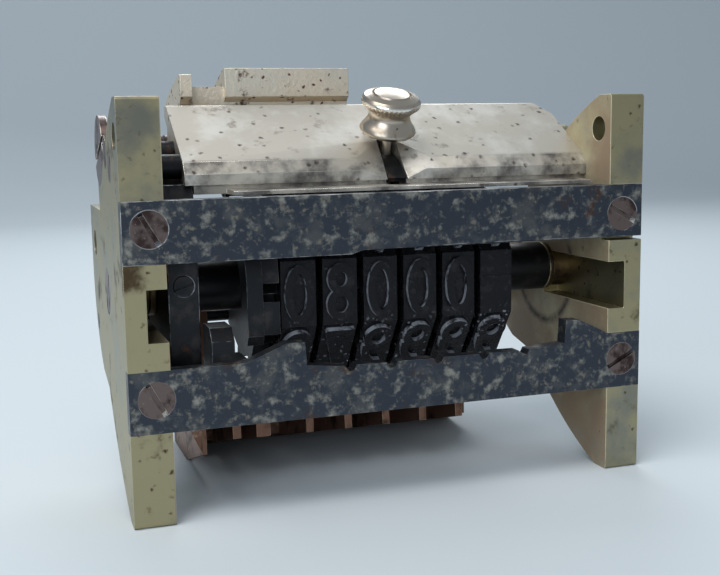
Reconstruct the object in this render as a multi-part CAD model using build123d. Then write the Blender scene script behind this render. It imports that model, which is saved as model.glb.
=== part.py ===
from build123d import *
import math
import os

# Numbering head: two end plates joined by front bars carry six figure wheels on one shaft.
# Working axes: X from the left plate's outer face, Y back from the front plane, Z up from the floor.
# All sizes in millimetres.

# Frame
frame_width = 67.7
plate_thickness = 4.9
plate_height = 50.0
plate_depth = 36.0
foot_depth = 2.8
lug_top = 36.0
right_inner = frame_width - plate_thickness
running = 0.05

# Front bars
bar_thickness = 2.0
upper_bar_bottom = 31.05
upper_bar_top = 38.35
lower_bar_bottom = 11.3
lower_bar_end_top = 18.7

# Wheel train
shaft_y = 17.5
shaft_z = 25.9
shaft_radius = 2.0
bush_radius = 3.0
bush_stand = 0.8
sleeve_radius = 3.4
wheel_count = 6
wheel_pitch = 5.4
first_wheel_x = 21.8
rim_width = 4.5
facet_apothem = 12.7
figure_rise = 0.65
figure_height = 7.2
figure_width = 3.8
stroke = 1.0
figures = 10
figure_step = 360 / figures
ratchet_radius = 11.2
ratchet_root = 9.6
ratchet_thickness = 0.75
units_ratchet_thickness = 2.2
shown_figures = (0, 8, 0, 0, 0, None)

# Cover, rear rod and what swings on it
rod_y = 20.8
rod_z = 43.7
rod_radius = 1.4
hub_radius = 2.6
cover_left = 8.45
lip_front = 2.3
ridge_y = 7.0
ridge_z = 42.4
notch_x = 35.6
slot_front_half = 1.45
slot_back_half = 1.05
slot_fit = 0.2
knob_tilt = 21.8
knob_seat_y = 10.8
knob_seat_z = 42.85
block_left = 17.2
block_right = 34.7
block_front = 22.5
block_ridge = 54.4
pawl_pin_y = 34.0
pawl_pin_z = 43.6
pawl_pin_radius = 0.9
pawl_wall = 1.2
arm_left = 46.6
arm_right = 48.6
holding_pin_y = 9.2
holding_pin_z = 35.2

# Comb and retaining springs
comb_rod_y = 31.8
comb_rod_z = 19.8
comb_rod_radius = 1.2
comb_bar_top = 11.2
comb_heel = 32.7
comb_back = 35.4


def at_yz(x, y, z):
    """Plane across X, with local x along Y and local y along Z."""
    return Plane(origin=(x, y, z), x_dir=(0, 1, 0), z_dir=(1, 0, 0))


def slab(x0, x1, edges):
    """Solid between two X planes whose outline is drawn in (Y, Z)."""
    face = make_face(edges)
    return extrude(at_yz(x0, 0, 0) * face, x1 - x0)


def outline(x0, x1, points):
    return slab(x0, x1, Polyline(*points, close=True))


def rod(x0, x1, y, z, radius):
    return extrude(at_yz(x0, y, z) * Circle(radius), x1 - x0)


def box(x0, x1, y0, y1, z0, z1):
    middle = ((x0 + x1) / 2, (y0 + y1) / 2, (z0 + z1) / 2)
    return Pos(*middle) * Box(x1 - x0, y1 - y0, z1 - z0)


def on_x(profile):
    """Turned piece whose profile is drawn as (x, radius) about the X axis."""
    return revolve(make_face(Polyline(*[(x, r, 0) for x, r in profile], close=True)), Axis.X)


def turned_x(y, z, profile):
    return Pos(0, y, z) * on_x(profile)


def wheel_x(index):
    return first_wheel_x + wheel_pitch * index


# End plates

def plate_outline():
    """Half-round plate with a square rear lug and a neck for the rear rod."""
    lower = ThreePointArc((foot_depth, 0), (12.0, 4.6), (21.5, 12.4))
    heel = ThreePointArc((27.5, 13.7), (33.4, 19.0), (plate_depth, 26.5))
    upper = ThreePointArc((22.0, lug_top), (12.4, 44.9), (foot_depth, plate_height))
    return [
        Line((0, 0), (foot_depth, 0)), lower, Line((21.5, 12.4), (27.5, 13.7)), heel,
        Line((plate_depth, 26.5), (plate_depth, lug_top)), Line((plate_depth, lug_top), (22.0, lug_top)),
        upper, Line((foot_depth, plate_height), (0, plate_height)), Line((0, plate_height), (0, 0)),
    ]


def rod_neck(x0):
    neck = outline(x0, x0 + plate_thickness, [
        (16.6, 41.2), (rod_y - 1.4, rod_z + 2.1), (rod_y + 2.4, rod_z - 0.9), (22.6, lug_top),
        (17.0, lug_top)])
    return neck + rod(x0, x0 + plate_thickness, rod_y, rod_z, hub_radius)


def screw_hole_y(x, z, radius, y0, y1):
    return Pos(x, (y0 + y1) / 2, z) * Rot(90, 0, 0) * Cylinder(radius, y1 - y0)


BAR_SCREWS = [(3.15, 35.1, -60), (3.2, 15.3, -62), (64.75, 34.5, -30), (64.9, 15.1, 28)]
BAR_HEAD_RADIUS = 2.2
BAR_SHANK_RADIUS = 1.15
COVER_SCREWS = [(9.0, 41.85), (13.3, 43.4)]
COVER_SCREW_RADIUS = 1.0
COVER_HEAD_RADIUS = 1.75
CORNER_HOLE = (3.0, 45.6, 1.6)
BLOCK_PIN = (29.5, 48.6, 0.85)
LUG_HOLE = (31.2, 31.0, 1.75)
GUIDE_SCREW = (11.6, 16.2, 0.8)


def end_plate(side):
    """side is 0 for the left plate and 1 for the right one."""
    x0 = side * right_inner
    x1 = x0 + plate_thickness
    inner = plate_thickness if side == 0 else right_inner
    into = -1 if side == 0 else 1
    plate = slab(x0, x1, plate_outline())
    plate = fillet(plate.edges().filter_by(Axis.X).group_by(Axis.Y)[0], 0.5)
    plate += rod_neck(x0)
    plate -= box(x0, x1, 0, bar_thickness, upper_bar_bottom, upper_bar_top)
    plate -= box(x0, x1, 0, bar_thickness, lower_bar_bottom, lower_bar_end_top)
    groove = sorted((inner, inner + into * 2.4))
    plate -= box(groove[0], groove[1], 0, shaft_y, 22.0, 28.2)
    plate -= rod(x0, x1, shaft_y, shaft_z, bush_radius)
    plate -= rod(x0, x1, rod_y, rod_z, rod_radius)
    if side == 0:
        plate -= rod(0, 1.0, rod_y, rod_z, 4.65)
    plate -= rod(x0, x1, CORNER_HOLE[0], CORNER_HOLE[1], CORNER_HOLE[2])
    plate -= rod(x0, x1, LUG_HOLE[0], LUG_HOLE[1], LUG_HOLE[2])
    plate -= rod(x0, x1, comb_rod_y, comb_rod_z, comb_rod_radius)
    for x, z, _ in BAR_SCREWS[side * 2:side * 2 + 2]:
        plate -= screw_hole_y(x, z, BAR_SHANK_RADIUS, 0, 8.0)
    for y, z in COVER_SCREWS:
        plate -= cover_screw_body(side, y, z)
    return plate


# Front bars

def bar_solid(points):
    face = make_face(Polyline(*points, close=True))
    front = Plane(origin=(0, bar_thickness, 0), x_dir=(1, 0, 0), z_dir=(0, -1, 0))
    bar = extrude(front * face, bar_thickness)
    for x, z, _ in BAR_SCREWS:
        head = Pos(x, 0, z) * Rot(90, 0, 0) * Cone(BAR_SHANK_RADIUS, BAR_HEAD_RADIUS, 1.1,
                                                 align=(Align.CENTER, Align.CENTER, Align.MAX))
        bar -= head
        bar -= screw_hole_y(x, z, BAR_SHANK_RADIUS, 0, bar_thickness)
    return bar


def upper_bar():
    step = 31.5
    return bar_solid([
        (0, upper_bar_bottom), (27.3, upper_bar_bottom), (28.8, step), (46.0, step + 0.15),
        (frame_width, step), (frame_width, upper_bar_top), (0, upper_bar_top)])


def lower_bar():
    """Lower bar with its raised lands and the small dips between the wheels."""
    flat = 17.4
    left = [(0, lower_bar_end_top), (plate_thickness, lower_bar_end_top), (14.0, 18.8), (16.4, 19.8),
            (18.9, 20.8), (21.15, 20.75),
            (21.3, 17.9), (26.0, flat)]
    dips = []
    for x in (26.9, 32.3, 38.5, 44.8, 50.5):
        dips += [(x - 0.75, flat), (x - 0.2, flat - 0.75), (x + 0.4, flat - 0.6), (x + 0.75, flat + 0.05)]
    right = [(56.4, 17.8), (56.6, 20.9), (58.7, 20.75), (60.7, 19.8), (62.4, 18.9),
             (right_inner, lower_bar_end_top), (frame_width, lower_bar_end_top)]
    top = left + dips + right
    bar = bar_solid([(0, lower_bar_bottom)] + top + [(frame_width, lower_bar_bottom)])
    return bar - screw_hole_y(GUIDE_SCREW[0], GUIDE_SCREW[1], GUIDE_SCREW[2], 0.8, bar_thickness)


def bar_screws():
    group = []
    for x, z, turn in BAR_SCREWS:
        head = Cone(BAR_SHANK_RADIUS, BAR_HEAD_RADIUS, 1.1, align=(Align.CENTER, Align.CENTER, Align.MAX))
        shank = Cylinder(BAR_SHANK_RADIUS, 7.5, align=(Align.CENTER, Align.CENTER, Align.MAX))
        slot = Rot(0, 0, turn) * Box(6, 0.6, 1.0)
        group.append(Pos(x, 0, z) * Rot(90, 0, 0) * (head + shank - slot))
    return Compound(children=group)


# Cover bar

def under_cover(y):
    """Height of the flat underside of the cover."""
    return 39.6 + (y - 6.0) * (41.5 - 39.6) / (17.7 - 6.0)


def on_cover(y):
    """Height of the sloping front face of the cover above a point of the floor."""
    return ridge_z + (y - ridge_y) * (49.3 - ridge_z) / (17.9 - ridge_y)


def cover_screw_body(side, y, z):
    radius = COVER_SCREW_RADIUS
    head = COVER_HEAD_RADIUS
    profile = [(0, 0), (0, head), (0.9, radius), (14.0, radius), (14.0, 0)]
    if side == 1:
        profile = [(frame_width - x, r) for x, r in profile]
    return turned_x(y, z, profile)


def cover_bar():
    """Sloping bar with a bevelled notch for the knob, on a web whose thin lip lies behind the upper bar."""
    profile = [
        (6.0, 39.6), (6.0, 40.9), (ridge_y, ridge_z), (17.9, 49.3), (19.5, 49.4), (19.9, 48.0),
        (17.7, 46.6), (17.7, 41.5)]
    cover = outline(cover_left, right_inner, profile)
    cover += outline(9.6, right_inner, [(6.6, 38.5), (6.6, 39.8), (9.0, 40.3), (9.0, 38.5)])
    cover += outline(13.6, 61.6, [(lip_front, 38.5), (lip_front, 38.95), (6.6, 39.1), (6.6, 38.5)])
    corner = Polyline((61.3, 21), (61.3, 17.6), (right_inner, 15.5), (64.0, 15.5), (64.0, 21), close=True)
    cover -= Pos(0, 0, 38) * extrude(make_face(corner), 14)
    cover -= lever_groove()
    cover -= notch_bevels()
    for side in (0, 1):
        for y, z in COVER_SCREWS:
            cover -= cover_screw_body(side, y, z)
    return cover


def lever_groove():
    """Slot from the rear to the front lip in which the knob lever lies."""
    under = outline(notch_x - 1.3, notch_x + 1.3, [
        (8.0, 37.0), (8.0, 44.5), (12.0, 44.6), (20.5, 46.9), (20.5, 37.0)])
    return under + tapered_slot(0)


def tapered_slot(inset):
    """Space of the slot, wider at the cover's lip than behind, with its walls moved in by the inset."""
    front = slot_front_half - inset
    back = slot_back_half - inset
    mouth = Polyline((notch_x - front, 5.0), (notch_x - back, 13.0), (notch_x + back, 13.0),
                     (notch_x + front, 5.0), close=True)
    return Pos(0, 0, 37) * extrude(make_face(mouth), 12)


def notch_bevels():
    """Flat bevels that fall from the ridge to the slot on both sides."""
    cut = None
    for side, reach in ((-1, 5.35), (1, 4.8)):
        low = Vector(notch_x + side * 1.5, 6.0, 39.8)
        far = Vector(notch_x + side * reach, ridge_y, ridge_z)
        high = Vector(notch_x + side * 1.2, 10.3, on_cover(10.3))
        up = (far - low).cross(high - low)
        if up.Z < 0:
            up = up * -1
        bevel = Plane(origin=low, x_dir=far - low, z_dir=up)
        over = bevel * Box(24, 24, 8, align=(Align.CENTER, Align.CENTER, Align.MIN))
        reach_box = sorted((notch_x, notch_x + side * 8))
        wedge = over & box(reach_box[0], reach_box[1], 5.0, 14.0, 39.0, 50.0)
        cut = wedge if cut is None else cut + wedge
    return cut


def cover_screws():
    group = []
    for side in (0, 1):
        for y, z in COVER_SCREWS:
            outer = side * frame_width
            slot = Pos(outer, y, z) * Rot(25, 0, 0) * Box(0.9, 0.45, 6)
            group.append(cover_screw_body(side, y, z) - slot)
    return Compound(children=group)


def cover_spacers():
    group = []
    for y, z in COVER_SCREWS:
        tube = rod(plate_thickness, cover_left, y, z, 1.5)
        group.append(tube - rod(plate_thickness, cover_left, y, z, COVER_SCREW_RADIUS))
    return Compound(children=group)


# Wheel shaft

def wheel_shaft():
    shaft = rod(0.9, frame_width - 0.9, shaft_y, shaft_z, shaft_radius)
    for x0, x1 in ((-1, 7), (frame_width - 7, frame_width + 1)):
        shaft -= rod(x0, x1, shaft_y, shaft_z, 0.9)
    return shaft


def shaft_end_screws():
    group = []
    for side in (0, 1):
        head = bush_radius - running
        profile = [(0, 0), (0, head), (0.9, head), (0.9, 0.9), (6.5, 0.9), (6.5, 0)]
        if side == 1:
            profile = [(frame_width - x, r) for x, r in profile]
        slot = Pos(side * frame_width, shaft_y, shaft_z) * Rot(35, 0, 0) * Box(0.8, 0.6, 8)
        group.append(turned_x(shaft_y, shaft_z, profile) - slot)
    return Compound(children=group)


def bush(side):
    """Bush pressed into the plate; its collar stands out of the groove to meet what is on the shaft."""
    collar = plate_thickness + bush_stand
    profile = [(0.9, shaft_radius), (0.9, bush_radius), (plate_thickness, bush_radius),
               (plate_thickness, sleeve_radius), (collar, sleeve_radius), (collar, shaft_radius)]
    if side == 1:
        profile = [(frame_width - x, r) for x, r in profile]
    return turned_x(shaft_y, shaft_z, profile)


def sleeve(x0, x1, radius):
    return rod(x0, x1, shaft_y, shaft_z, radius) - rod(x0, x1, shaft_y, shaft_z, shaft_radius)


# Number wheels

def bar_stroke(start, end):
    length = math.dist(start, end)
    angle = math.degrees(math.atan2(end[1] - start[1], end[0] - start[0]))
    centre = ((start[0] + end[0]) / 2, (start[1] + end[1]) / 2)
    return Pos(*centre) * Rot(0, 0, angle) * Rectangle(length + stroke * 0.8, stroke)


def bend_stroke(centre, across, up, start, sweep):
    """Part of an oval ring, from the start angle through the sweep."""
    inner = [(centre[0] + across * math.cos(math.radians(start + sweep * i / 8)),
              centre[1] + up * math.sin(math.radians(start + sweep * i / 8))) for i in range(9)]
    shape = None
    for one, two in zip(inner, inner[1:]):
        piece = bar_stroke(one, two)
        shape = piece if shape is None else shape + piece
    return shape


def oval_ring(centre, across, up):
    outer = Ellipse(across + stroke / 2, up + stroke / 2)
    return Pos(*centre) * (outer - Ellipse(across - stroke / 2, up - stroke / 2))


def figure(digit):
    """Raised figure, upright, centred on its facet."""
    w = (figure_width - stroke) / 2
    h = (figure_height - stroke) / 2
    if digit == 0:
        return oval_ring((0, 0), w, h)
    if digit == 1:
        return bar_stroke((0, -h), (0, h)) + bar_stroke((0, h), (-1.0, h - 1.0))
    if digit == 2:
        return (bend_stroke((0, h / 2), w, h / 2, 170, -200) + bar_stroke((w * 0.9, h * 0.3), (-w, -h))
                + bar_stroke((-w, -h), (w, -h)))
    if digit == 3:
        return bend_stroke((0, h / 2), w, h / 2, 150, -240) + bend_stroke((0, -h / 2), w, h / 2, 90, -240)
    if digit == 4:
        return (bar_stroke((w * 0.5, -h), (w * 0.5, h)) + bar_stroke((w * 0.5, h), (-w, -h * 0.4))
                + bar_stroke((-w, -h * 0.4), (w, -h * 0.4)))
    if digit == 5:
        return (bar_stroke((-w, h), (w, h)) + bar_stroke((-w, h), (-w, h * 0.1))
                + bend_stroke((0, -h * 0.4), w, h * 0.6, 130, -270))
    if digit == 6:
        return oval_ring((0, -h / 2), w, h / 2) + bend_stroke((w * 0.3, 0), w * 1.3, h, 180, -95)
    if digit == 7:
        return bar_stroke((-w, h), (w, h)) + bar_stroke((w, h), (-w * 0.3, -h))
    if digit == 8:
        return oval_ring((0, h / 2 + 0.1), w * 0.9, h / 2 - 0.1) + oval_ring((0, -h / 2), w, h / 2)
    return Rot(0, 0, 180) * figure(6)


def wheel_blank():
    """Ten-sided drum standing on the X axis, one facet facing the front."""
    half = figure_step / 2
    corner = facet_apothem / math.cos(math.radians(half))
    points = []
    for i in range(figures):
        angle = math.radians(180 + half + i * figure_step)
        points.append((corner * math.cos(angle), corner * math.sin(angle)))
    drum = outline(-rim_width / 2, rim_width / 2, points)
    return drum - rod(-rim_width, rim_width, 0, 0, shaft_radius + running)


def figured_wheel(first):
    """Wheel of mirrored type, the figures rising upwards from the front facet.

    Without figure zero, that facet stays blank and carries only a scribed line."""
    wheel = wheel_blank()
    sunk = 0.2
    front = Plane(origin=(0, sunk - facet_apothem, 0), x_dir=(1, 0, 0), z_dir=(0, -1, 0))
    for digit in range(first, figures):
        raised = extrude(front * mirror(figure(digit), Plane.YZ), figure_rise + sunk)
        wheel += Rot(-figure_step * digit, 0, 0) * raised
    if first > 0:
        wheel -= box(-rim_width, rim_width, -facet_apothem - 1, sunk - facet_apothem, 0.7, 1.0)
    return wheel


def ratchet(thickness):
    """Ratchet disc of ten saw teeth with steep faces that a pull from the rear lifts."""
    points = []
    for i in range(figures):
        angle = math.radians(i * figure_step)
        points.append((ratchet_radius * math.cos(angle), ratchet_radius * math.sin(angle)))
        points.append((ratchet_root * math.cos(angle + 0.02), ratchet_root * math.sin(angle + 0.02)))
    disc = outline(-thickness, 0, points)
    return disc - rod(-thickness, 0, 0, 0, shaft_radius + running)


# Left inner parts

def inner_cheek():
    """Upright cheek beside the left plate, held on the shaft; a screw shows in its front edge."""
    x0 = plate_thickness + 0.85
    cheek = outline(x0, 9.5, [
        (5.0, 17.0), (5.0, 34.5), (7.0, under_cover(7.0)), (14.0, under_cover(14.0)),
        (22.0, 30.0), (22.0, 20.0), (15.0, 17.0)])
    cheek -= rod(x0, 9.5, shaft_y, shaft_z, shaft_radius)
    cheek -= screw_hole_y(7.65, 27.7, 0.7, 5.0, 11.0)
    cheek -= screw_hole_y(7.65, 27.7, 1.25, 5.0, 5.8)
    cheek -= rod(7.0, 9.5, holding_pin_y, holding_pin_z, 0.9)
    return cheek


def cheek_screw():
    head = Cylinder(1.2, 0.8, align=(Align.CENTER, Align.CENTER, Align.MAX))
    shank = Cylinder(0.7, 5.8, align=(Align.CENTER, Align.CENTER, Align.MAX))
    slot = Rot(0, 0, 15) * Box(4, 0.4, 0.6)
    return Pos(7.65, 5.0, 27.7) * Rot(90, 0, 0) * (head + shank - slot)


def holding_pin():
    return rod(7.0, 17.2, holding_pin_y, holding_pin_z, 0.9)


def holding_pawl():
    """Pawl that hangs from its pin in front of the first ratchet; its nose stands over the teeth."""
    arm = outline(15.0, 17.0, [
        (6.6, 37.0), (11.2, 37.4), (11.4, 33.2), (9.2, 31.4), (7.2, 28.0), (6.3, 22.2), (5.4, 20.2),
        (4.2, 20.0), (3.5, 21.2), (3.6, 28.0), (5.0, 34.0)])
    nose = outline(17.0, 19.1, [(3.9, 27.6), (5.7, 27.8), (6.5, 29.9), (5.4, 31.6), (4.5, 31.4)])
    foot = outline(17.0, 19.1, [(3.7, 21.3), (5.5, 20.8), (6.1, 23.0), (5.7, 24.9), (3.8, 25.3)])
    return arm + nose + foot - rod(15.0, 17.0, holding_pin_y, holding_pin_z, 0.9 + running)


def guide_block():
    """Stepped steel block behind the lower bar at the left."""
    block = outline(10.2, 13.0, [(2.0, 13.0), (2.0, 21.2), (3.4, 22.7), (7.5, 22.7), (7.5, 13.0)])
    step = box(13.0, 14.5, 2.0, 6.5, 13.0, 18.9)
    return block + step - screw_hole_y(GUIDE_SCREW[0], GUIDE_SCREW[1], GUIDE_SCREW[2], 2.0, 7.5)


def guide_screw():
    head = Cylinder(1.4, 0.9, align=(Align.CENTER, Align.CENTER, Align.MIN))
    shank = Cylinder(GUIDE_SCREW[2], 6.5, align=(Align.CENTER, Align.CENTER, Align.MAX))
    slot = Pos(0, 0, 0.8) * Box(4, 0.5, 0.8)
    return Pos(GUIDE_SCREW[0], 7.5, GUIDE_SCREW[1]) * Rot(-90, 0, 0) * (head + shank - slot)


# Rear rod and its swinging parts

def carrier_rod():
    head = rod(0, 1.0, rod_y, rod_z, 4.6)
    head -= Pos(0, rod_y, rod_z) * Rot(70, 0, 0) * Box(0.7, 0.9, 12)
    return head + rod(1.0, frame_width, rod_y, rod_z, rod_radius)


def swing_block():
    """Rough cast block over the rear rod, with a saddle and a thin upright at its left."""
    back = plate_depth - 0.5
    hub_front = [(rod_y - 2.4, rod_z - 1.0), (rod_y - 2.3, rod_z + 1.2)]
    relief = [(block_front + 0.9, 48.0), (block_front + 0.9, 50.0)]
    body = outline(block_left, block_right, [
        (block_front, block_ridge), (block_front + 1.1, block_ridge), (back, 50.6), (back, 42.2),
        (back - 0.7, 41.6), (28.8, 41.4), (22.2, 41.4)] + hub_front + relief + [(block_front, 50.6)])
    body += rod(block_left, block_right, rod_y, rod_z, hub_radius)
    saddle = outline(12.7, block_left, [
        (23.4, 52.0), (31.0, 49.8), (31.0, 46.6), (24.6, 44.6), (23.4, 47.6)])
    upright = outline(11.1, 12.7, [
        (22.0, 53.5), (23.2, 53.6), (29.6, 52.1), (back, 50.2), (back, 47.4), (24.0, 41.8)]
        + hub_front + [(23.2, 47.6), (23.2, 49.6), (22.0, 50.6)])
    upright += rod(11.1, 12.7, rod_y, rod_z, hub_radius)
    arm = outline(arm_left, arm_right, [
        (22.2, 41.4), (28.8, 41.4), (back - 0.7, 41.6), (back, 42.2), (back, 48.8), (31.8, 48.8),
        (30.0, 46.0), (23.4, 46.0), hub_front[1], hub_front[0]])
    arm += rod(arm_left, arm_right, rod_y, rod_z, hub_radius)
    beam = box(block_right, arm_left, 31.8, back, 46.4, 48.8)
    block = body + saddle + upright + arm + beam
    block -= rod(11.0, arm_right, rod_y, rod_z, rod_radius + running)
    block -= rod(block_right - 6.0, block_right, BLOCK_PIN[0], BLOCK_PIN[1], BLOCK_PIN[2])
    block -= outline(block_left + pawl_wall, arm_left, [
        (28.4, 40.0), (28.4, 42.4), (31.4, 46.2), (plate_depth, 46.2), (plate_depth, 40.0)])
    return block - rod(block_left, arm_right, pawl_pin_y, pawl_pin_z, pawl_pin_radius)


def block_pin():
    return rod(block_right - 6.0, block_right + 0.75, BLOCK_PIN[0], BLOCK_PIN[1], BLOCK_PIN[2])


def drive_pin():
    return rod(block_left, arm_right, pawl_pin_y, pawl_pin_z, pawl_pin_radius)


def drive_pawl():
    """Stepped pawl: one hooked finger in the plane of each ratchet, on a common hub."""
    left = block_left + pawl_wall + 0.15
    right = arm_left - 0.15
    pawl = rod(left, right, pawl_pin_y, pawl_pin_z, 1.5)
    pawl += outline(left, right, [
        (32.7, 43.0), (35.3, 43.0), (34.9, 37.6), (33.4, 36.6), (32.2, 37.6)])
    finger = [
        (34.6, 39.0), (33.7, 32.0), (31.4, 26.0), (30.0, 23.2), (29.4, 22.9), (28.95, 24.3), (29.9, 25.3),
        (31.0, 27.8), (31.9, 32.0), (32.4, 39.0)]
    for index in range(wheel_count):
        x = wheel_x(index) - rim_width / 2
        pawl += outline(max(left, x - 0.7), x - 0.15, finger)
    return pawl - rod(left, right, pawl_pin_y, pawl_pin_z, pawl_pin_radius + running)


def knob_lever():
    """Lever in the cover's slot, from the rear rod to the knob, with a wide tongue in the notch."""
    x0 = notch_x - 0.75
    x1 = notch_x + 0.75
    arm = outline(x0, x1, [
        (rod_y - 1.2, rod_z - 2.25), (rod_y - 0.6, rod_z + 2.5), (17.0, 45.2), (12.6, 43.57), (11.0, 40.7),
        (17.0, 41.4)])
    tongue = outline(notch_x - slot_front_half, notch_x + slot_front_half, [
        (12.6, 43.57), (8.4, 41.89), (6.15, 39.8), (6.6, 39.3), (8.8, 40.2), (11.0, 40.7), (12.6, 40.9)])
    lever = arm + (tongue & tapered_slot(slot_fit)) + rod(x0, x1, rod_y, rod_z, 2.55)
    return lever - rod(x0, x1, rod_y, rod_z, rod_radius + running) - knob_axis_hole()


def knob_place(solid):
    """Puts a piece turned about Z onto the knob's axis, square to its seat on the lever."""
    return Pos(notch_x, knob_seat_y, knob_seat_z) * Rot(knob_tilt, 0, 0) * solid


def knob_axis_hole():
    return knob_place(Pos(0, 0, -1.0) * Cylinder(0.55, 3.2))


def knob():
    """Waisted knob with a flat ringed top, on a thin stem that ends in the lever."""
    profile = [
        (0, -1.5), (0.55, -1.5), (0.55, 0), (0.75, 0), (0.75, 2.0), (1.3, 2.3), (3.3, 2.9), (3.66, 3.3),
        (3.5, 3.8),
        (3.0, 4.5), (2.69, 5.2), (2.8, 5.8), (3.4, 6.4), (3.8, 6.8), (3.84, 7.3), (3.5, 7.8), (2.6, 8.1),
        (2.45, 7.9), (2.25, 8.2), (1.2, 8.35), (0, 8.4)]
    face = make_face(Polyline(*[(r, 0, h) for r, h in profile], close=True))
    return knob_place(revolve(face, Axis.Z))


def torsion_spring(x0, turns, leg_turn, leg_length):
    """Coil of square wire round the rear rod with one straight leg at its far end."""
    wire = 0.5
    pitch = 0.95
    radius = rod_radius + wire / 2 + running
    coil = Helix(pitch=pitch, height=pitch * turns, radius=radius)
    section = Plane(origin=coil @ 0, z_dir=coil % 0) * Rectangle(wire, wire)
    spring = sweep(section, path=coil, is_frenet=True)
    end = coil @ 1
    leg = Pos(end.X, end.Y + leg_length / 2, end.Z) * Box(wire, leg_length, wire)
    return Pos(x0, rod_y, rod_z) * Rot(leg_turn, 0, 0) * Rot(0, 90, 0) * (spring + leg)


# Comb and retaining springs

def fin(x0, x1, front):
    return outline(x0, x1, [
        (front, 9.6), (front - 0.4, 6.2), (comb_heel, 0.0), (comb_back, 0.0), (comb_back, 6.0),
        (30.6, 9.8), (24.0, 10.4), (18.0, 10.2)])


def comb_fins():
    """Middle, thickness and front edge of every fin."""
    fins = [(15.1, 1.1, 12.6), (18.6, 1.9, 12.3)]
    for index in range(1, wheel_count):
        fins.append((wheel_x(index) - wheel_pitch / 2 + 0.35, 1.0, 12.0))
    return fins


def comb():
    """Copper comb: a fin under each wheel gap, joined by a rear bar that stands on the floor."""
    left = 12.9
    right = 54.0
    ear = 2.2
    whole = outline(left, right, [
        (26.5, 2.3), (comb_heel, 0.0), (comb_back, 0.0), (comb_back, 7.0), (31.0, comb_bar_top),
        (27.6, comb_bar_top), (26.5, 10.0)])
    for x, width, front in comb_fins():
        whole += fin(x - width / 2, x + width / 2, front)
    for x0, x1 in ((left, left + ear), (right - ear, right)):
        whole += outline(x0, x1, [
            (28.4, 9.0), (29.3, 17.4), (30.4, 21.4), (33.4, 21.4), (34.2, 19.8), (34.8, 12.0), (35.0, 6.0)])
    whole -= rod(left, right, comb_rod_y, comb_rod_z, comb_rod_radius)
    for x in CLAMP_SCREWS:
        whole -= Pos(x, CLAMP_Y, comb_bar_top) * Cylinder(0.8, 8)
    return whole


CLAMP_SCREWS = (17.6, 34.0, 49.6)
CLAMP_Y = 29.6


def comb_foot():
    """Bent copper sheet at the comb's left end, screwed flat behind its rear bar."""
    sheet = 0.6
    side = outline(10.6, 10.6 + sheet, [
        (13.2, 7.7), (12.9, 4.3), (25.6, 0.0), (comb_back + sheet, 0.0), (comb_back + sheet, 6.0),
        (24.0, 9.0)])
    flange = box(10.6, 19.0, comb_back, comb_back + sheet, 0.0, 6.0)
    tab = Polyline((9.3, 7.2), (10.6, 7.7), (10.6, 4.5), close=True)
    front = Plane(origin=(0, 13.2 + sheet, 0), x_dir=(1, 0, 0), z_dir=(0, -1, 0))
    return side + flange + extrude(front * make_face(tab), sheet)


def comb_rod():
    return rod(0, frame_width, comb_rod_y, comb_rod_z, comb_rod_radius)


def detent_springs():
    """Spring sheet with one finger standing over the teeth of each ratchet."""
    sheet = 0.35
    z0 = comb_bar_top
    plate = box(16.4, 51.0, 28.0, 31.0, z0, z0 + sheet)
    for x in CLAMP_SCREWS:
        plate -= Pos(x, CLAMP_Y, z0) * Cylinder(0.8, 4)
    finger = [(28.6, z0), (28.6, z0 + sheet), (27.5, 13.6), (24.9, 16.6), (24.6, 16.3), (27.1, 13.3),
              (27.9, z0)]
    for index in range(wheel_count):
        x = wheel_x(index) - rim_width / 2
        plate += outline(x - 0.7, x - 0.15, finger)
    return plate


def clamp_strip():
    z0 = comb_bar_top + 0.35
    strip = box(16.4, 51.0, 28.75, 30.9, z0, z0 + 1.1)
    for x in CLAMP_SCREWS:
        strip -= Pos(x, CLAMP_Y, z0) * Cylinder(0.8, 4)
    return strip


def clamp_screws():
    group = []
    seat = comb_bar_top + 0.35 + 1.1
    for x in CLAMP_SCREWS:
        head = Cylinder(1.25, 0.8, align=(Align.CENTER, Align.CENTER, Align.MIN))
        shank = Cylinder(0.8, 5.0, align=(Align.CENTER, Align.CENTER, Align.MAX))
        slot = Pos(0, 0, 0.75) * Box(4, 0.4, 0.7)
        group.append(Pos(x, CLAMP_Y, seat) * (head + shank - slot))
    return Compound(children=group)


# All nodes

def number_wheels():
    parts = {}
    zero_wheel = figured_wheel(0)
    blank_wheel = figured_wheel(1)
    for index, shown in enumerate(shown_figures):
        wheel = blank_wheel if shown is None else Rot(figure_step * (shown or 0), 0, 0) * zero_wheel
        parts[f"number_wheel_{index + 1}"] = Pos(wheel_x(index), shaft_y, shaft_z) * wheel
        thickness = units_ratchet_thickness if index == 0 else ratchet_thickness
        place = Pos(wheel_x(index) - rim_width / 2, shaft_y, shaft_z)
        parts[f"ratchet_{index + 1}"] = place * ratchet(thickness)
    return parts


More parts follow.
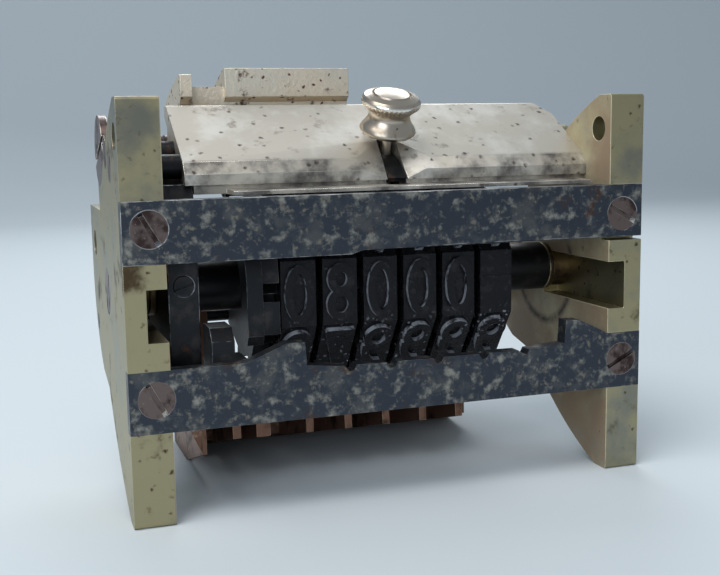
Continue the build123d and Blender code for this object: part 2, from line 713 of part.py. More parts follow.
def all_parts():
    parts = {
        "left_end_plate": end_plate(0),
        "right_end_plate": end_plate(1),
        "upper_bar": upper_bar(),
        "lower_bar": lower_bar(),
        "bar_screws": bar_screws(),
        "cover_bar": cover_bar(),
        "cover_screws": cover_screws(),
        "cover_spacers": cover_spacers(),
        "wheel_shaft": wheel_shaft(),
        "shaft_end_screws": shaft_end_screws(),
        "left_bush": bush(0),
        "right_bush": bush(1),
        "left_sleeve": sleeve(9.5, 17.25, sleeve_radius),
        "right_sleeve": sleeve(51.2, right_inner - bush_stand, sleeve_radius),
        "inner_cheek": inner_cheek(),
        "cheek_screw": cheek_screw(),
        "guide_block": guide_block(),
        "guide_screw": guide_screw(),
        "holding_pin": holding_pin(),
        "holding_pawl": holding_pawl(),
        "carrier_rod": carrier_rod(),
        "swing_block": swing_block(),
        "block_pin": block_pin(),
        "drive_pin": drive_pin(),
        "drive_pawl": drive_pawl(),
        "swing_spring": torsion_spring(5.4, 4.5, 0, 4.5),
        "knob_lever": knob_lever(),
        "knob": knob(),
        "lever_spring": torsion_spring(37.1, 4.5, 0, 4.5),
        "comb": comb(),
        "comb_foot": comb_foot(),
        "comb_rod": comb_rod(),
        "detent_springs": detent_springs(),
        "clamp_strip": clamp_strip(),
        "clamp_screws": clamp_screws(),
    }
    parts.update(number_wheels())
    return parts


os.makedirs("parts", exist_ok=True)
centred = Pos(-frame_width / 2, -plate_depth / 2, 0)
for name, shape in all_parts().items():
    solids = (centred * shape).solids()
    export_step(solids[0] if len(solids) == 1 else Compound(children=solids), f"parts/{name}.step")
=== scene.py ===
import math
import bmesh
import bpy
from mathutils import Matrix, Vector


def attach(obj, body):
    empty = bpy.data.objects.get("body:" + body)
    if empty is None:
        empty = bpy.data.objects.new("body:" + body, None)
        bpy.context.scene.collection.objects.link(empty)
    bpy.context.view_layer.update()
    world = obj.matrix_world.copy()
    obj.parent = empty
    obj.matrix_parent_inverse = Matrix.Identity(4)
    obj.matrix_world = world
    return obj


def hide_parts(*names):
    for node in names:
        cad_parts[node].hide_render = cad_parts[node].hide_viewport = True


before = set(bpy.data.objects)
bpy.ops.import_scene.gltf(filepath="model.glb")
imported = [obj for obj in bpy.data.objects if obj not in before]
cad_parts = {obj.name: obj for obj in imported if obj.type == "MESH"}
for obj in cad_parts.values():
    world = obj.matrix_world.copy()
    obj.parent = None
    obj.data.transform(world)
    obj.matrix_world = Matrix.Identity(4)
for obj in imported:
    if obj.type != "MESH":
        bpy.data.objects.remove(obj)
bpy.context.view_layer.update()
mm = 0.001

cameraPlace = (-0.04785, -0.14135, 0.04575)
cameraYaw = 18.89
cameraPitch = 8.20
cameraRoll = -0.92
cameraLens = 54.25

shaftPlace = (0, -0.0005, 0.0259)
firstWheel = -12.05
wheelPitch = 5.4
wheelCount = 6
figureFoot = 12.1
figureHalfWidth = 2.1
wallSlope = 0.5

mergeDistance = 2e-6
flatAngle = 1
sharpAngle = 22
smoothAngle = 25
bevelSegments = 2

driftScale = 1800
driftReach = 0.0006
emptyShare = 0.5
innerFace = {"Edge": 0.0290, "Soft": 0.0001}

brass = (0.38, 0.335, 0.205)
brassDark = (0.085, 0.06, 0.035)
brassPale = (0.56, 0.50, 0.34)
navy = (0.043, 0.051, 0.066)
navyPale = (0.33, 0.32, 0.28)
rust = (0.085, 0.045, 0.03)
nickel = (0.62, 0.58, 0.51)
nickelPale = (0.78, 0.75, 0.69)
nickelStain = (0.10, 0.08, 0.07)
castBrass = (0.74, 0.65, 0.52)
castDark = (0.10, 0.055, 0.045)
ink = (0.006, 0.006, 0.008)
inkDust = (0.045, 0.048, 0.055)
copper = (0.22, 0.122, 0.085)
copperDark = (0.035, 0.018, 0.013)
screwSteel = (0.16, 0.12, 0.112)
oiled = (0.020, 0.021, 0.024)


def newGroup(name, inputs, outputs):
    group = bpy.data.node_groups.new(name, "ShaderNodeTree")
    for label, value in inputs.items():
        socket = group.interface.new_socket(name=label, in_out="INPUT", socket_type="NodeSocketFloat")
        socket.default_value = value
    for label in outputs:
        group.interface.new_socket(name=label, in_out="OUTPUT", socket_type="NodeSocketFloat")
    return group, group.nodes.new("NodeGroupInput"), group.nodes.new("NodeGroupOutput")


def addNoise(tree, place, scale, detail, roughness=0.6):
    tex = tree.nodes.new("ShaderNodeTexNoise")
    tex.inputs["Detail"].default_value = detail
    tex.inputs["Roughness"].default_value = roughness
    tree.links.new(place, tex.inputs["Vector"])
    tree.links.new(scale, tex.inputs["Scale"])
    return tex.outputs["Fac"]


def addRamp(tree, value, low, high, out):
    ramp = tree.nodes.new("ShaderNodeMapRange")
    ramp.interpolation_type = "SMOOTHSTEP"
    tree.links.new(value, ramp.inputs["Value"])
    tree.links.new(low, ramp.inputs["From Min"])
    tree.links.new(high, ramp.inputs["From Max"])
    tree.links.new(ramp.outputs["Result"], out)


def makePatches():  # soft-edged patches of noise between two thresholds
    group, start, end = newGroup("patches", {"Scale": 200, "Low": 0.5, "High": 0.6}, ["Mask"])
    coords = group.nodes.new("ShaderNodeTexCoord")
    value = addNoise(group, coords.outputs["Object"], start.outputs["Scale"], 6)
    addRamp(group, value, start.outputs["Low"], start.outputs["High"], end.inputs["Mask"])
    return group


def makeSpecks():  # uneven specks scattered by a cell pattern, in about half of its cells
    group, start, end = newGroup("specks", {"Scale": 900, "Low": 0.18, "High": 0.3}, ["Mask"])
    coords = group.nodes.new("ShaderNodeTexCoord")
    drift = group.nodes.new("ShaderNodeTexNoise")
    drift.inputs["Scale"].default_value = driftScale
    group.links.new(coords.outputs["Object"], drift.inputs["Vector"])
    shift = group.nodes.new("ShaderNodeVectorMath")
    shift.operation = "MULTIPLY_ADD"
    shift.inputs[1].default_value = (driftReach, driftReach, driftReach)
    group.links.new(drift.outputs["Color"], shift.inputs[0])
    group.links.new(coords.outputs["Object"], shift.inputs[2])
    cells = group.nodes.new("ShaderNodeTexVoronoi")
    group.links.new(shift.outputs["Vector"], cells.inputs["Vector"])
    group.links.new(start.outputs["Scale"], cells.inputs["Scale"])
    ramp = group.nodes.new("ShaderNodeMapRange")
    group.links.new(cells.outputs["Distance"], ramp.inputs["Value"])
    group.links.new(start.outputs["High"], ramp.inputs["From Min"])
    group.links.new(start.outputs["Low"], ramp.inputs["From Max"])
    parts = group.nodes.new("ShaderNodeSeparateColor")
    group.links.new(cells.outputs["Color"], parts.inputs["Color"])
    chosen = group.nodes.new("ShaderNodeMath")
    chosen.operation = "GREATER_THAN"
    chosen.inputs[1].default_value = emptyShare
    group.links.new(parts.outputs["Red"], chosen.inputs[0])
    both = group.nodes.new("ShaderNodeMath")
    both.operation = "MULTIPLY"
    group.links.new(ramp.outputs["Result"], both.inputs[0])
    group.links.new(chosen.outputs["Value"], both.inputs[1])
    group.links.new(both.outputs["Value"], end.inputs["Mask"])
    return group


def makeZone(name, axis):  # where the distance from the middle along an axis is under the edge
    group, start, end = newGroup(name, {"Edge": 0.03, "Soft": 0.0002}, ["Mask"])
    coords = group.nodes.new("ShaderNodeTexCoord")
    parts = group.nodes.new("ShaderNodeSeparateXYZ")
    group.links.new(coords.outputs["Object"], parts.inputs["Vector"])
    size = group.nodes.new("ShaderNodeMath")
    size.operation = "ABSOLUTE"
    group.links.new(parts.outputs[axis], size.inputs[0])
    far = group.nodes.new("ShaderNodeMath")
    far.operation = "ADD"
    group.links.new(start.outputs["Edge"], far.inputs[0])
    group.links.new(start.outputs["Soft"], far.inputs[1])
    ramp = group.nodes.new("ShaderNodeMapRange")
    group.links.new(size.outputs["Value"], ramp.inputs["Value"])
    group.links.new(far.outputs["Value"], ramp.inputs["From Min"])
    group.links.new(start.outputs["Edge"], ramp.inputs["From Max"])
    group.links.new(ramp.outputs["Result"], end.inputs["Mask"])
    return group


def makeRing():  # thin ring round the wheel shaft
    group, start, end = newGroup("ring", {"Radius": 0.008, "Width": 0.0003}, ["Mask"])
    coords = group.nodes.new("ShaderNodeTexCoord")
    flat = group.nodes.new("ShaderNodeVectorMath")
    flat.operation = "MULTIPLY_ADD"
    flat.inputs[1].default_value = (0, 1, 1)
    flat.inputs[2].default_value = (0, -shaftPlace[1], -shaftPlace[2])
    group.links.new(coords.outputs["Object"], flat.inputs[0])
    reach = group.nodes.new("ShaderNodeVectorMath")
    reach.operation = "LENGTH"
    group.links.new(flat.outputs["Vector"], reach.inputs[0])
    off = group.nodes.new("ShaderNodeMath")
    off.operation = "SUBTRACT"
    group.links.new(reach.outputs["Value"], off.inputs[0])
    group.links.new(start.outputs["Radius"], off.inputs[1])
    size = group.nodes.new("ShaderNodeMath")
    size.operation = "ABSOLUTE"
    group.links.new(off.outputs["Value"], size.inputs[0])
    ramp = group.nodes.new("ShaderNodeMapRange")
    group.links.new(size.outputs["Value"], ramp.inputs["Value"])
    group.links.new(start.outputs["Width"], ramp.inputs["From Min"])
    ramp.inputs["From Max"].default_value = 0
    group.links.new(ramp.outputs["Result"], end.inputs["Mask"])
    return group


def makeHeight():  # fine and coarse noise added as one height
    group, start, end = newGroup("height", {"Fine": 2500, "Coarse": 500, "Share": 0.5}, ["Height"])
    coords = group.nodes.new("ShaderNodeTexCoord")
    fine = addNoise(group, coords.outputs["Object"], start.outputs["Fine"], 4)
    coarse = addNoise(group, coords.outputs["Object"], start.outputs["Coarse"], 5)
    mix = group.nodes.new("ShaderNodeMix")
    group.links.new(start.outputs["Share"], mix.inputs[0])
    group.links.new(coarse, mix.inputs[2])
    group.links.new(fine, mix.inputs[3])
    group.links.new(mix.outputs[0], end.inputs["Height"])
    return group


patches = makePatches()
specks = makeSpecks()
height = makeHeight()
across = makeZone("across", "X")
below = makeZone("below", "Z")
ring = makeRing()


def useGroup(tree, group, **values):
    box = tree.nodes.new("ShaderNodeGroup")
    box.node_tree = group
    for label, value in values.items():
        box.inputs[label].default_value = value
    return box.outputs[0]


def timesMask(tree, first, second):
    product = tree.nodes.new("ShaderNodeMath")
    product.operation = "MULTIPLY"
    tree.links.new(first, product.inputs[0])
    tree.links.new(second, product.inputs[1])
    return product.outputs["Value"]


def mixColour(tree, mask, under, over):
    mix = tree.nodes.new("ShaderNodeMix")
    mix.data_type = "RGBA"
    tree.links.new(mask, mix.inputs[0])
    for socket, colour in ((mix.inputs[6], under), (mix.inputs[7], over)):
        if isinstance(colour, tuple):
            socket.default_value = (*colour, 1)
        else:
            tree.links.new(colour, socket)
    return mix.outputs[2]


def mixValue(tree, mask, under, over):
    mix = tree.nodes.new("ShaderNodeMix")
    tree.links.new(mask, mix.inputs[0])
    for socket, value in ((mix.inputs[2], under), (mix.inputs[3], over)):
        if isinstance(value, (int, float)):
            socket.default_value = value
        else:
            tree.links.new(value, socket)
    return mix.outputs[0]


def makeMaterial(name, look):  # metal with layers of patches and specks, worn edges (on the number wheels' figure walls a painted glint) and a bumped surface
    material = bpy.data.materials.new(name)
    material.use_nodes = True
    tree = material.node_tree
    shader = tree.nodes["Principled BSDF"]
    shader.inputs["Metallic"].default_value = look["metallic"]
    if "dull" in look:
        zone, edges, dullMetallic = look["dull"]
        metallic = mixValue(tree, useGroup(tree, zone, **edges), look["metallic"], dullMetallic)
        tree.links.new(metallic, shader.inputs["Metallic"])
    colour = look["colour"]
    rough = look["rough"]
    for kind, settings, layerColour, layerRough, *places in look["layers"]:
        mask = useGroup(tree, kind, **settings)
        for zone, edges in places:
            mask = timesMask(tree, mask, useGroup(tree, zone, **edges))
        colour = mixColour(tree, mask, colour, layerColour)
        rough = mixValue(tree, mask, rough, layerRough)
    if "edge" in look:
        edgeColour, edgeRough, edgeSettings = look["edge"]
        wearAndGlint = tree.nodes.new("ShaderNodeAttribute")
        wearAndGlint.attribute_name = "wearAndGlint"
        rubbedAndGlinting = timesMask(tree, wearAndGlint.outputs["Fac"], useGroup(tree, patches, **edgeSettings))
        colour = mixColour(tree, rubbedAndGlinting, colour, edgeColour)
        rough = mixValue(tree, rubbedAndGlinting, rough, edgeRough)
    if isinstance(colour, tuple):
        shader.inputs["Base Color"].default_value = (*colour, 1)
    else:
        tree.links.new(colour, shader.inputs["Base Color"])
    if isinstance(rough, (int, float)):
        shader.inputs["Roughness"].default_value = rough
    else:
        tree.links.new(rough, shader.inputs["Roughness"])
    if "specular" in look:
        shader.inputs["Specular IOR Level"].default_value = look["specular"]
    if "coat" in look:
        shader.inputs["Coat Weight"].default_value = look["coat"]
        shader.inputs["Coat Roughness"].default_value = look["coatRough"]
    bump = tree.nodes.new("ShaderNodeBump")
    bump.inputs["Strength"].default_value = look["bump"]
    bump.inputs["Distance"].default_value = look["bumpDepth"] * mm
    tree.links.new(useGroup(tree, height, **look["grain"]), bump.inputs["Height"])
    tree.links.new(bump.outputs["Normal"], shader.inputs["Normal"])
    return material


looks = {
    "plateBrass": {
        "metallic": 1.0, "colour": brass, "rough": 0.42, "bump": 0.25, "bumpDepth": 0.12,
        "grain": {"Fine": 1500, "Coarse": 160, "Share": 0.35},
        "layers": [
            (patches, {"Scale": 90, "Low": 0.46, "High": 0.66}, (0.24, 0.235, 0.19), 0.34),
            (patches, {"Scale": 150, "Low": 0.56, "High": 0.72}, brassDark, 0.5),
            (patches, {"Scale": 600, "Low": 0.60, "High": 0.74}, (0.14, 0.11, 0.06), 0.5),
            (patches, {"Scale": 70, "Low": 0.36, "High": 0.58}, (0.27, 0.195, 0.125), 0.55,
             (across, innerFace)),
            (ring, {"Radius": 0.0080, "Width": 0.0009}, (0.05, 0.036, 0.028), 0.6,
             (across, innerFace), (patches, {"Scale": 300, "Low": 0.34, "High": 0.56})),
            (specks, {"Scale": 620, "Low": 0.06, "High": 0.2}, brassDark, 0.6)],
        "dull": (across, innerFace, 0.25),
        "edge": (brassPale, 0.25, {"Scale": 300, "Low": 0.32, "High": 0.5})},
    "bluedSteel": {
        "metallic": 0.85, "colour": navy, "rough": 0.42, "bump": 0.35, "bumpDepth": 0.15,
        "grain": {"Fine": 2200, "Coarse": 420, "Share": 0.5},
        "layers": [
            (patches, {"Scale": 260, "Low": 0.50, "High": 0.68}, (0.085, 0.09, 0.095), 0.46),
            (patches, {"Scale": 560, "Low": 0.50, "High": 0.74}, navyPale, 0.52),
            (patches, {"Scale": 190, "Low": 0.60, "High": 0.74}, rust, 0.6),
            (patches, {"Scale": 1250, "Low": 0.56, "High": 0.72}, (0.20, 0.185, 0.155), 0.52)],
        "edge": ((0.34, 0.34, 0.34), 0.35, {"Scale": 420, "Low": 0.42, "High": 0.6})},
    "nickel": {
        "metallic": 1.0, "colour": nickel, "rough": 0.54, "bump": 0.2, "bumpDepth": 0.08,
        "grain": {"Fine": 2600, "Coarse": 300, "Share": 0.5},
        "layers": [
            (patches, {"Scale": 110, "Low": 0.44, "High": 0.66}, nickelPale, 0.48),
            (patches, {"Scale": 420, "Low": 0.58, "High": 0.72}, (0.40, 0.36, 0.31), 0.58),
            (patches, {"Scale": 240, "Low": 0.36, "High": 0.70}, (0.125, 0.117, 0.112), 0.6,
             (below, {"Edge": 0.0423, "Soft": 0.0003})),
            (specks, {"Scale": 640, "Low": 0.06, "High": 0.24}, nickelStain, 0.6)],
        "edge": (nickelPale, 0.22, {"Scale": 260, "Low": 0.3, "High": 0.5})},
    "knobNickel": {
        "metallic": 1.0, "colour": (0.46, 0.40, 0.33), "rough": 0.28, "bump": 0.12, "bumpDepth": 0.05,
        "grain": {"Fine": 2600, "Coarse": 300, "Share": 0.5},
        "layers": [
            (patches, {"Scale": 380, "Low": 0.54, "High": 0.70}, (0.24, 0.18, 0.12), 0.42),
            (specks, {"Scale": 900, "Low": 0.05, "High": 0.16}, nickelStain, 0.5)],
        "edge": (nickelPale, 0.18, {"Scale": 260, "Low": 0.3, "High": 0.5})},
    "castBrass": {
        "metallic": 0.9, "colour": castBrass, "rough": 0.5, "bump": 0.6, "bumpDepth": 0.25,
        "grain": {"Fine": 1900, "Coarse": 520, "Share": 0.55},
        "layers": [
            (patches, {"Scale": 170, "Low": 0.46, "High": 0.66}, (0.74, 0.67, 0.56), 0.44),
            (patches, {"Scale": 520, "Low": 0.56, "High": 0.68}, castDark, 0.62),
            (specks, {"Scale": 820, "Low": 0.1, "High": 0.22}, (0.12, 0.035, 0.03), 0.7)],
        "edge": ((0.60, 0.54, 0.44), 0.35, {"Scale": 300, "Low": 0.36, "High": 0.55})},
    "ink": {
        "metallic": 0.0, "colour": ink, "rough": 0.2, "bump": 1.0, "bumpDepth": 0.30,
        "specular": 0.12, "coat": 0.14, "coatRough": 0.12,
        "grain": {"Fine": 2600, "Coarse": 900, "Share": 0.4},
        "layers": [
            (patches, {"Scale": 500, "Low": 0.52, "High": 0.68}, (0.018, 0.017, 0.018), 0.42),
            (patches, {"Scale": 1300, "Low": 0.62, "High": 0.74}, inkDust, 0.6),
            # pale specks on the lower flats of the number wheels: painted glints
            (specks, {"Scale": 1500, "Low": 0.12, "High": 0.4}, (0.34, 0.36, 0.39), 0.2,
             (below, {"Edge": 0.0215, "Soft": 0.0012}), (patches, {"Scale": 420, "Low": 0.46, "High": 0.6}))],
        # edge colour of the number wheels: pale glossy rims and figure walls, partly rubbed ink and partly a
        # painted glint
        "edge": ((0.20, 0.21, 0.235), 0.18, {"Scale": 700, "Low": 0.36, "High": 0.56})},
    "oiled": {
        "metallic": 0.8, "colour": oiled, "rough": 0.4, "bump": 0.35, "bumpDepth": 0.12,
        "grain": {"Fine": 2400, "Coarse": 500, "Share": 0.5},
        "layers": [
            (patches, {"Scale": 300, "Low": 0.5, "High": 0.68}, (0.045, 0.043, 0.043), 0.48),
            (patches, {"Scale": 520, "Low": 0.6, "High": 0.72}, rust, 0.6)],
        "edge": ((0.22, 0.23, 0.25), 0.35, {"Scale": 500, "Low": 0.42, "High": 0.6})},
    "screw": {
        "metallic": 0.95, "colour": screwSteel, "rough": 0.36, "bump": 0.3, "bumpDepth": 0.08,
        "grain": {"Fine": 2800, "Coarse": 700, "Share": 0.5},
        "layers": [
            (patches, {"Scale": 420, "Low": 0.48, "High": 0.66}, (0.05, 0.032, 0.03), 0.5),
            (specks, {"Scale": 1200, "Low": 0.08, "High": 0.2}, (0.2, 0.17, 0.15), 0.4)],
        "edge": ((0.45, 0.40, 0.36), 0.28, {"Scale": 500, "Low": 0.36, "High": 0.55})},
    "copper": {
        "metallic": 0.9, "colour": copper, "rough": 0.42, "bump": 0.4, "bumpDepth": 0.15,
        "grain": {"Fine": 2000, "Coarse": 420, "Share": 0.5},
        "layers": [
            (patches, {"Scale": 210, "Low": 0.48, "High": 0.66}, copperDark, 0.55),
            (patches, {"Scale": 640, "Low": 0.58, "High": 0.72}, (0.40, 0.27, 0.19), 0.4)],
        "edge": ((0.52, 0.34, 0.24), 0.3, {"Scale": 400, "Low": 0.38, "High": 0.58})},
    "bearing": {
        "metallic": 0.9, "colour": (0.20, 0.14, 0.075), "rough": 0.45, "bump": 0.35, "bumpDepth": 0.12,
        "grain": {"Fine": 2000, "Coarse": 420, "Share": 0.5},
        "layers": [(patches, {"Scale": 260, "Low": 0.48, "High": 0.66}, (0.06, 0.04, 0.03), 0.55)],
        "edge": ((0.45, 0.36, 0.2), 0.3, {"Scale": 400, "Low": 0.38, "High": 0.58})},
}
materials = {name: makeMaterial(name, look) for name, look in looks.items()}
print("materials", len(materials))


def startMesh(node):  # the node's own triangles, merged and with flat regions joined
    mesh = bmesh.new()
    mesh.from_mesh(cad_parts[node].data)
    bmesh.ops.remove_doubles(mesh, verts=mesh.verts, dist=mergeDistance)
    bmesh.ops.dissolve_limit(mesh, angle_limit=math.radians(flatAngle), verts=mesh.verts, edges=mesh.edges)
    return mesh


def bevelSharp(mesh, width):  # rounded faces carry the mask for worn edges, which on the number wheels also carries painted glints
    wearAndGlint = mesh.faces.layers.float.new("wearAndGlint")
    sharp = [edge for edge in mesh.edges if len(edge.link_faces) == 2
             and edge.calc_face_angle(0) > math.radians(sharpAngle)]
    rounded = bmesh.ops.bevel(mesh, geom=sharp, offset=width, offset_type="OFFSET", segments=bevelSegments,
                              profile=0.5, affect="EDGES", clamp_overlap=True, material=-1)
    for face in rounded["faces"]:
        face[wearAndGlint] = 1.0


def finishMesh(mesh, name, material, body, nodes):
    wearAndGlint = mesh.faces.layers.float["wearAndGlint"]
    for face in mesh.faces:
        face.smooth = True
    for edge in mesh.edges:
        wearAndGlintFlags = {face[wearAndGlint] for face in edge.link_faces}
        edge.smooth = len(wearAndGlintFlags) == 1 and edge.calc_face_angle(0) < math.radians(smoothAngle)
    data = bpy.data.meshes.new(name)
    mesh.to_mesh(data)
    mesh.free()
    data.materials.append(materials[material])
    piece = bpy.data.objects.new(name, data)
    bpy.context.collection.objects.link(piece)
    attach(piece, body)
    if nodes:
        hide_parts(*nodes)
    return piece


nodeLooks = {
    "left_end_plate": ("plateBrass", "frame", 0.28), "right_end_plate": ("plateBrass", "frame", 0.28),
    "upper_bar": ("bluedSteel", "frame", 0.16), "lower_bar": ("bluedSteel", "frame", 0.16),
    "bar_screws": ("screw", "frame", 0.12), "cover_bar": ("nickel", "frame", 0.18),
    "cover_screws": ("screw", "frame", 0.1), "shaft_end_screws": ("screw", "frame", 0.12),
    "cheek_screw": ("oiled", "frame", 0.08), "guide_screw": ("oiled", "frame", 0.08),
    "clamp_screws": ("screw", "frame", 0.08), "carrier_rod": ("screw", "frame", 0.1),
    "wheel_shaft": ("oiled", "frame", 0.1), "left_sleeve": ("oiled", "frame", 0.15),
    "right_sleeve": ("oiled", "frame", 0.15), "cover_spacers": ("oiled", "frame", 0.08),
    "inner_cheek": ("oiled", "frame", 0.2), "guide_block": ("oiled", "frame", 0.2),
    "holding_pin": ("oiled", "frame", 0.08), "holding_pawl": ("oiled", "holder", 0.15),
    "comb": ("copper", "frame", 0.12), "comb_foot": ("copper", "frame", 0.08),
    "comb_rod": ("oiled", "frame", 0.08), "clamp_strip": ("oiled", "frame", 0.08),
    "detent_springs": ("oiled", "frame", 0.05), "left_bush": ("bearing", "frame", 0.12),
    "right_bush": ("bearing", "frame", 0.12), "swing_block": ("castBrass", "swing", 0.3),
    "block_pin": ("oiled", "swing", 0.08), "drive_pin": ("oiled", "swing", 0.08),
    "drive_pawl": ("oiled", "driver", 0.08), "knob_lever": ("oiled", "key", 0.1),
}
for node, (material, body, width) in nodeLooks.items():
    mesh = startMesh(node)
    bevelSharp(mesh, width * mm)
    finishMesh(mesh, node.replace("_", "") + "Dressed", material, body, [node])


def markFigureWalls(mesh, middle):  # the walls that rise from the wheel's ten flats, marked to take the edge colour as a painted glint
    wearAndGlint = mesh.faces.layers.float["wearAndGlint"]
    for face in mesh.faces:
        centre = face.calc_center_median() - Vector(shaftPlace)
        outward = Vector((0, centre.y, centre.z))
        reach = outward.length
        aside = abs(centre.x - middle)
        steep = abs(face.normal.dot(outward / reach)) < wallSlope
        if reach > figureFoot * mm and aside < figureHalfWidth * mm and steep:
            face[wearAndGlint] = 1.0


for number in range(1, wheelCount + 1):
    for part, material, width in (("number_wheel", "ink", 0.13), ("ratchet", "oiled", 0.1)):
        mesh = startMesh(f"{part}_{number}")
        bevelSharp(mesh, width * mm)
        if part == "number_wheel":
            markFigureWalls(mesh, (firstWheel + wheelPitch * (number - 1)) * mm)
        finishMesh(mesh, f"{part}{number}Dressed", material, f"wheel_{number}", [f"{part}_{number}"])
for node in ("swing_spring", "lever_spring"):
    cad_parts[node].data.materials.clear()
    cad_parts[node].data.materials.append(materials["screw"])


knobMakes = {
    "seat": (0.00175, -0.0072, 0.04285), "tilt": 21.8,
    "stem": [(0, -1.5), (0.55, -1.5), (0.55, 0), (0.75, 0), (0.75, 2.0), (1.3, 2.3), (3.3, 2.9)],
    "body": [(3.3, 2.9), (3.66, 3.3), (3.5, 3.8), (3.0, 4.5), (2.69, 5.2), (2.8, 5.8), (3.4, 6.4), (3.8, 6.8),
             (3.84, 7.3), (3.5, 7.8)],
    "top": [(3.5, 7.8), (2.6, 8.1), (2.45, 7.9), (2.25, 8.2), (1.2, 8.35), (0, 8.4)],
    "notches": 40, "notchDepth": 0.16, "notchRange": (6.1, 6.95), "columnsPerNotch": 4,
    "wornBelow": 7.4, "curveSteps": 4,
}


def curveThrough(points, steps):  # rounds the line through the points
    padded = [points[0], *points, points[-1]]
    curve = []
    for before, start, end, after in zip(padded, padded[1:], padded[2:], padded[3:]):
        for step in range(steps):
            t = step / steps
            curve.append(tuple(
                0.5 * (2 * b + (c - a) * t + (2 * a - 5 * b + 4 * c - d) * t ** 2
                       + (3 * b - a - 3 * c + d) * t ** 3)
                for a, b, c, d in zip(before, start, end, after)))
    return curve


def makeKnob(makes):
    line = makes["stem"][:-1] + curveThrough(makes["body"], makes["curveSteps"]) + makes["top"]
    widest = max(radius for radius, _ in makes["body"])
    mesh = bmesh.new()
    corners = [mesh.verts.new((min(radius, widest) * mm, 0, rise * mm)) for radius, rise in line]
    for low, high in zip(corners, corners[1:]):
        mesh.edges.new((low, high))
    columns = makes["notches"] * makes["columnsPerNotch"]
    bmesh.ops.spin(mesh, geom=mesh.verts[:] + mesh.edges[:], axis=(0, 0, 1), cent=(0, 0, 0),
                   angle=math.radians(360), steps=columns, use_merge=True, use_duplicate=False)
    bmesh.ops.remove_doubles(mesh, verts=mesh.verts, dist=1e-6)
    bmesh.ops.recalc_face_normals(mesh, faces=mesh.faces)
    lowest, highest = makes["notchRange"]
    half = makes["columnsPerNotch"] / 2
    for vert in mesh.verts:
        column = round(math.atan2(vert.co.y, vert.co.x) / math.radians(360) * columns)
        if lowest * mm < vert.co.z < highest * mm and column % makes["columnsPerNotch"] < half:
            radius = math.hypot(vert.co.x, vert.co.y)
            vert.co.xy *= (radius - makes["notchDepth"] * mm) / radius
    wearAndGlint = mesh.faces.layers.float.new("wearAndGlint")
    for face in mesh.faces:
        rise = face.calc_center_median().z
        face[wearAndGlint] = 1.0 if highest * mm < rise < makes["wornBelow"] * mm else 0.0
    turn = Matrix.Rotation(math.radians(makes["tilt"]), 4, "X")
    mesh.transform(Matrix.Translation(makes["seat"]) @ turn)
    finishMesh(mesh, "knobDressed", "knobNickel", "key", ["knob"])


makeKnob(knobMakes)
print("pieces dressed")


def paleMaterial(name, colour, rough):
    material = bpy.data.materials.new(name)
    material.use_nodes = True
    shader = material.node_tree.nodes["Principled BSDF"]
    shader.inputs["Base Color"].default_value = (*colour, 1)
    shader.inputs["Roughness"].default_value = rough
    return material


floorMakes = {"front": -0.9, "bend": 0.45, "radius": 0.25, "top": 0.9, "side": 1.2, "steps": 8,
              "colour": (0.60, 0.66, 0.70), "rough": 0.75}


def makeFloor(makes):  # plain floor that curves up into a backdrop behind the object
    mesh = bmesh.new()
    bend, radius = makes["bend"], makes["radius"]
    profile = [(makes["front"], 0.0), (bend, 0.0)]
    for step in range(1, makes["steps"] + 1):
        angle = math.radians(90 * step / makes["steps"])
        profile.append((bend + radius * math.sin(angle), radius - radius * math.cos(angle)))
    profile.append((bend + radius, makes["top"]))
    rows = [[mesh.verts.new((x, y, z)) for y, z in profile] for x in (-makes["side"], makes["side"])]
    for a, b, c, d in zip(rows[0], rows[0][1:], rows[1][1:], rows[1]):
        face = mesh.faces.new((a, d, c, b))
        face.smooth = True
    data = bpy.data.meshes.new("floor")
    mesh.to_mesh(data)
    mesh.free()
    data.materials.append(paleMaterial("floorPale", makes["colour"], makes["rough"]))
    floor = bpy.data.objects.new("floor", data)
    bpy.context.collection.objects.link(floor)


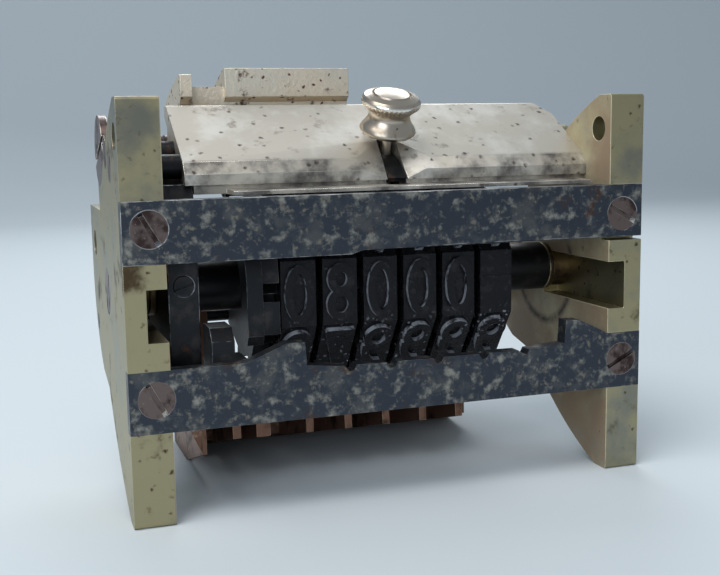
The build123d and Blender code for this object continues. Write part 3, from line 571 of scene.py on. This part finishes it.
lamps = {
    "keyLight": {"place": (-0.18, -0.12, 0.42), "target": (0, 0, 0.03), "size": (0.30, 0.30),
                 "power": 1.3, "colour": (1.0, 0.97, 0.92)},
    "fillLight": {"place": (-0.34, -0.36, 0.20), "target": (0, 0, 0.02), "size": (0.35, 0.25),
                  "power": 1.0, "colour": (0.86, 0.93, 1.0)},
    "rimLight": {"place": (0.10, 0.35, 0.32), "target": (0, 0, 0.03), "size": (0.30, 0.15),
                 "power": 0.8, "colour": (0.95, 0.98, 1.0)},
}


def makeLight(name, lamp):
    data = bpy.data.lights.new(name, "AREA")
    data.shape = "RECTANGLE"
    data.size, data.size_y = lamp["size"]
    data.energy = lamp["power"]
    data.color = lamp["colour"]
    light = bpy.data.objects.new(name, data)
    light.location = lamp["place"]
    aim = Vector(lamp["target"]) - Vector(lamp["place"])
    light.rotation_euler = aim.to_track_quat("-Z", "Y").to_euler()
    bpy.context.collection.objects.link(light)


worldColour = (0.72, 0.80, 0.88)
worldStrength = 0.5


def makeWorld():
    world = bpy.data.worlds.new("studio")
    world.use_nodes = True
    background = world.node_tree.nodes["Background"]
    background.inputs["Color"].default_value = (*worldColour, 1)
    background.inputs["Strength"].default_value = worldStrength
    bpy.context.scene.world = world


def makeCamera():
    yaw = math.radians(cameraYaw)
    pitch = math.radians(cameraPitch)
    roll = math.radians(cameraRoll)
    forward = Vector((math.sin(yaw) * math.cos(pitch), math.cos(yaw) * math.cos(pitch), -math.sin(pitch)))
    level = Vector((math.cos(yaw), -math.sin(yaw), 0))
    upright = level.cross(forward)
    right = math.cos(roll) * level + math.sin(roll) * upright
    up = math.cos(roll) * upright - math.sin(roll) * level
    data = bpy.data.cameras.new("camera")
    data.lens = cameraLens
    data.sensor_width = 36
    data.clip_start = 0.005
    camera = bpy.data.objects.new("camera", data)
    turn = Matrix((right, up, -forward)).transposed().to_4x4()
    camera.matrix_world = Matrix.Translation(cameraPlace) @ turn
    bpy.context.collection.objects.link(camera)
    bpy.context.scene.camera = camera


makeFloor(floorMakes)
for name, lamp in lamps.items():
    makeLight(name, lamp)
makeWorld()
makeCamera()
bpy.context.scene.view_settings.view_transform = "Standard"
print("studio ready")
